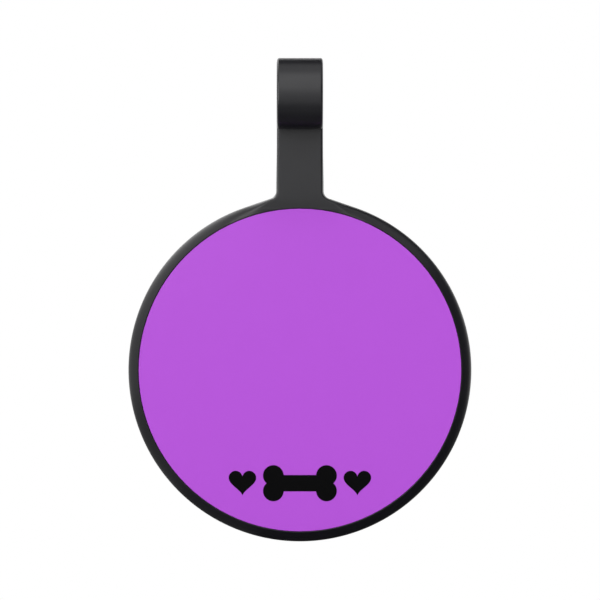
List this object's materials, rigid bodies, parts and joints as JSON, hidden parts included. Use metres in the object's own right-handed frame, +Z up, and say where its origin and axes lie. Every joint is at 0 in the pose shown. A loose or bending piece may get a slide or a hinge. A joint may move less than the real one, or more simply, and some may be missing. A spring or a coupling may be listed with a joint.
{
  "type": "pet tag",
  "caption": "Flat round collar tag: a laminate disc held in a soft rim whose strap rolls over into a loop that opens and locks through a slot.",
  "frame": {"origin": "centre of the collar loop, midway across the strap: the point that the tag hangs from", "axes": "+Z up, from the disc to the loop; +X along the loop's bore, to the right as the face is seen; -Y out of the face"},
  "size_m": [0.04, 0.0102, 0.0563],
  "materials": {
    "silicone": "satin black moulded silicone",
    "purple_cap": "satin purple laminate skin",
    "black_core": "matt black laminate core"
  },
  "bodies": {
    "holder": {"silicone_frame": "silicone", "face_layer": "purple_cap", "plate_core": "black_core", "rear_layer": "purple_cap"},
    "tongue": {"loop_tongue": "silicone", "lock_head": "silicone"}
  },
  "joints": [
    {"name": "loop_open", "type": "hinge", "parent": "holder", "child": "tongue", "pos_m": [0, 0.00355, 0.00205], "axis": [-1, 0, 0], "range_deg": [0, 100], "stiffness_Nm_per_rad": 0.0003, "deforming": ["lock_head"]}
  ]
}
